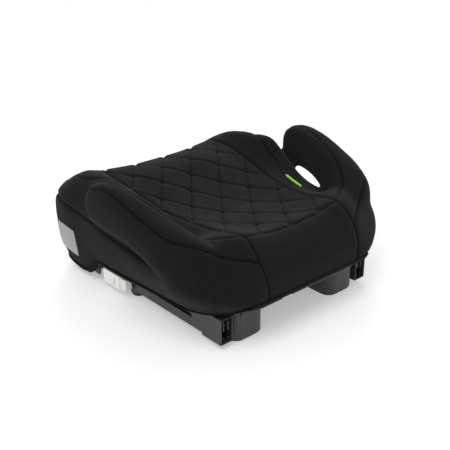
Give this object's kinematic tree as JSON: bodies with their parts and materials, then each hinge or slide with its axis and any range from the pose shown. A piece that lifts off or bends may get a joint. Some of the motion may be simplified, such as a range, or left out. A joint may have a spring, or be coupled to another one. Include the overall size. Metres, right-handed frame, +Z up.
{
  "type": "booster seat",
  "caption": "Backless child booster seat with a quilted padded cover, curved armrests, a plastic base and pull-out rigid anchor connectors with hand releases.",
  "frame": {"origin": "on the floor under the middle of the seat", "axes": "+Z up, the seat faces -Y, the anchor connectors point to +Y, +X is the child's left"},
  "size_m": [0.4432, 0.408, 0.202],
  "materials": {
    "cover_knit": "matt padded knit",
    "binding_tape": "woven tape",
    "patch_vinyl": "plain coated cloth",
    "foam": "moulded foam",
    "guide_plastic": "lime green",
    "base_plastic": "satin",
    "rail_plastic": "satin",
    "foot_rubber": "matt",
    "zinc_screw": "zinc plated",
    "connector_steel": "zinc plated",
    "hook_steel": "bright zinc",
    "grip_plastic": "white satin",
    "flag_plastic": "red",
    "spring_steel": "spring steel"
  },
  "bodies": {
    "seat": {"seat_foam": "foam", "quilted_seat_panel": "cover_knit", "front_panel": "cover_knit", "rear_panel": "cover_knit", "hem_binding": "binding_tape", "side_patch": "patch_vinyl", "armrest_screws": "zinc_screw", "base_shell": "base_plastic", "foot_pads": "foot_rubber", "rail_screws": "zinc_screw", "bolster_panel_left": "cover_knit", "bolster_panel_right": "cover_knit", "side_panel_left": "cover_knit", "side_panel_right": "cover_knit", "belt_guide_left": "guide_plastic", "belt_guide_right": "guide_plastic", "armrest_cover_left": "cover_knit", "armrest_cover_right": "cover_knit", "armrest_foam_left": "foam", "armrest_foam_right": "foam", "armrest_core_left": "base_plastic", "armrest_core_right": "base_plastic", "rail_housing_left": "rail_plastic", "rail_housing_right": "rail_plastic", "rail_mouth_left": "rail_plastic", "rail_mouth_right": "rail_plastic"},
    "arm_left": {"connector_arm_left": "connector_steel", "head_plates_left": "connector_steel", "head_rivets_left": "connector_steel", "hook_pivot_left": "connector_steel", "release_grip_left": "grip_plastic", "button_spring_left": "spring_steel"},
    "release_left": {"release_button_left": "grip_plastic", "release_rod_left": "connector_steel"},
    "hook_left": {"latch_hook_left": "hook_steel"},
    "flag_left": {"latch_flag_left": "flag_plastic"},
    "arm_right": {"connector_arm_right": "connector_steel", "head_plates_right": "connector_steel", "head_rivets_right": "connector_steel", "hook_pivot_right": "connector_steel", "release_grip_right": "grip_plastic", "button_spring_right": "spring_steel"},
    "release_right": {"release_button_right": "grip_plastic", "release_rod_right": "connector_steel"},
    "hook_right": {"latch_hook_right": "hook_steel"},
    "flag_right": {"latch_flag_right": "flag_plastic"}
  },
  "joints": [
    {"name": "connector_slide_left", "type": "slide", "parent": "seat", "child": "arm_left", "axis": [0, 1, 0], "range_m": [0, 0.14]},
    {"name": "release_button_press_left", "type": "slide", "parent": "arm_left", "child": "release_left", "axis": [0, -1, 0], "range_m": [0, 0.008], "stiffness_N_per_m": 500},
    {"name": "hook_close_left", "type": "hinge", "parent": "arm_left", "child": "hook_left", "pos_m": [0.14, 0.13, 0.037], "axis": [1, 0, 0], "range_deg": [-25, 0]},
    {"name": "flag_slide_left", "type": "slide", "parent": "arm_left", "child": "flag_left", "axis": [0, -1, 0], "range_m": [0, 0.0031]},
    {"name": "connector_slide_right", "type": "slide", "parent": "seat", "child": "arm_right", "axis": [0, 1, 0], "range_m": [0, 0.14]},
    {"name": "release_button_press_right", "type": "slide", "parent": "arm_right", "child": "release_right", "axis": [0, -1, 0], "range_m": [0, 0.008], "stiffness_N_per_m": 500},
    {"name": "hook_close_right", "type": "hinge", "parent": "arm_right", "child": "hook_right", "pos_m": [-0.14, 0.13, 0.037], "axis": [1, 0, 0], "range_deg": [-25, 0]},
    {"name": "flag_slide_right", "type": "slide", "parent": "arm_right", "child": "flag_right", "axis": [0, -1, 0], "range_m": [0, 0.0031]}
  ],
  "couplings": [
    {"joint": "flag_slide_left", "follows": "hook_close_left", "m_per_rad": -0.00687},
    {"joint": "flag_slide_right", "follows": "hook_close_right", "m_per_rad": -0.00687}
  ]
}
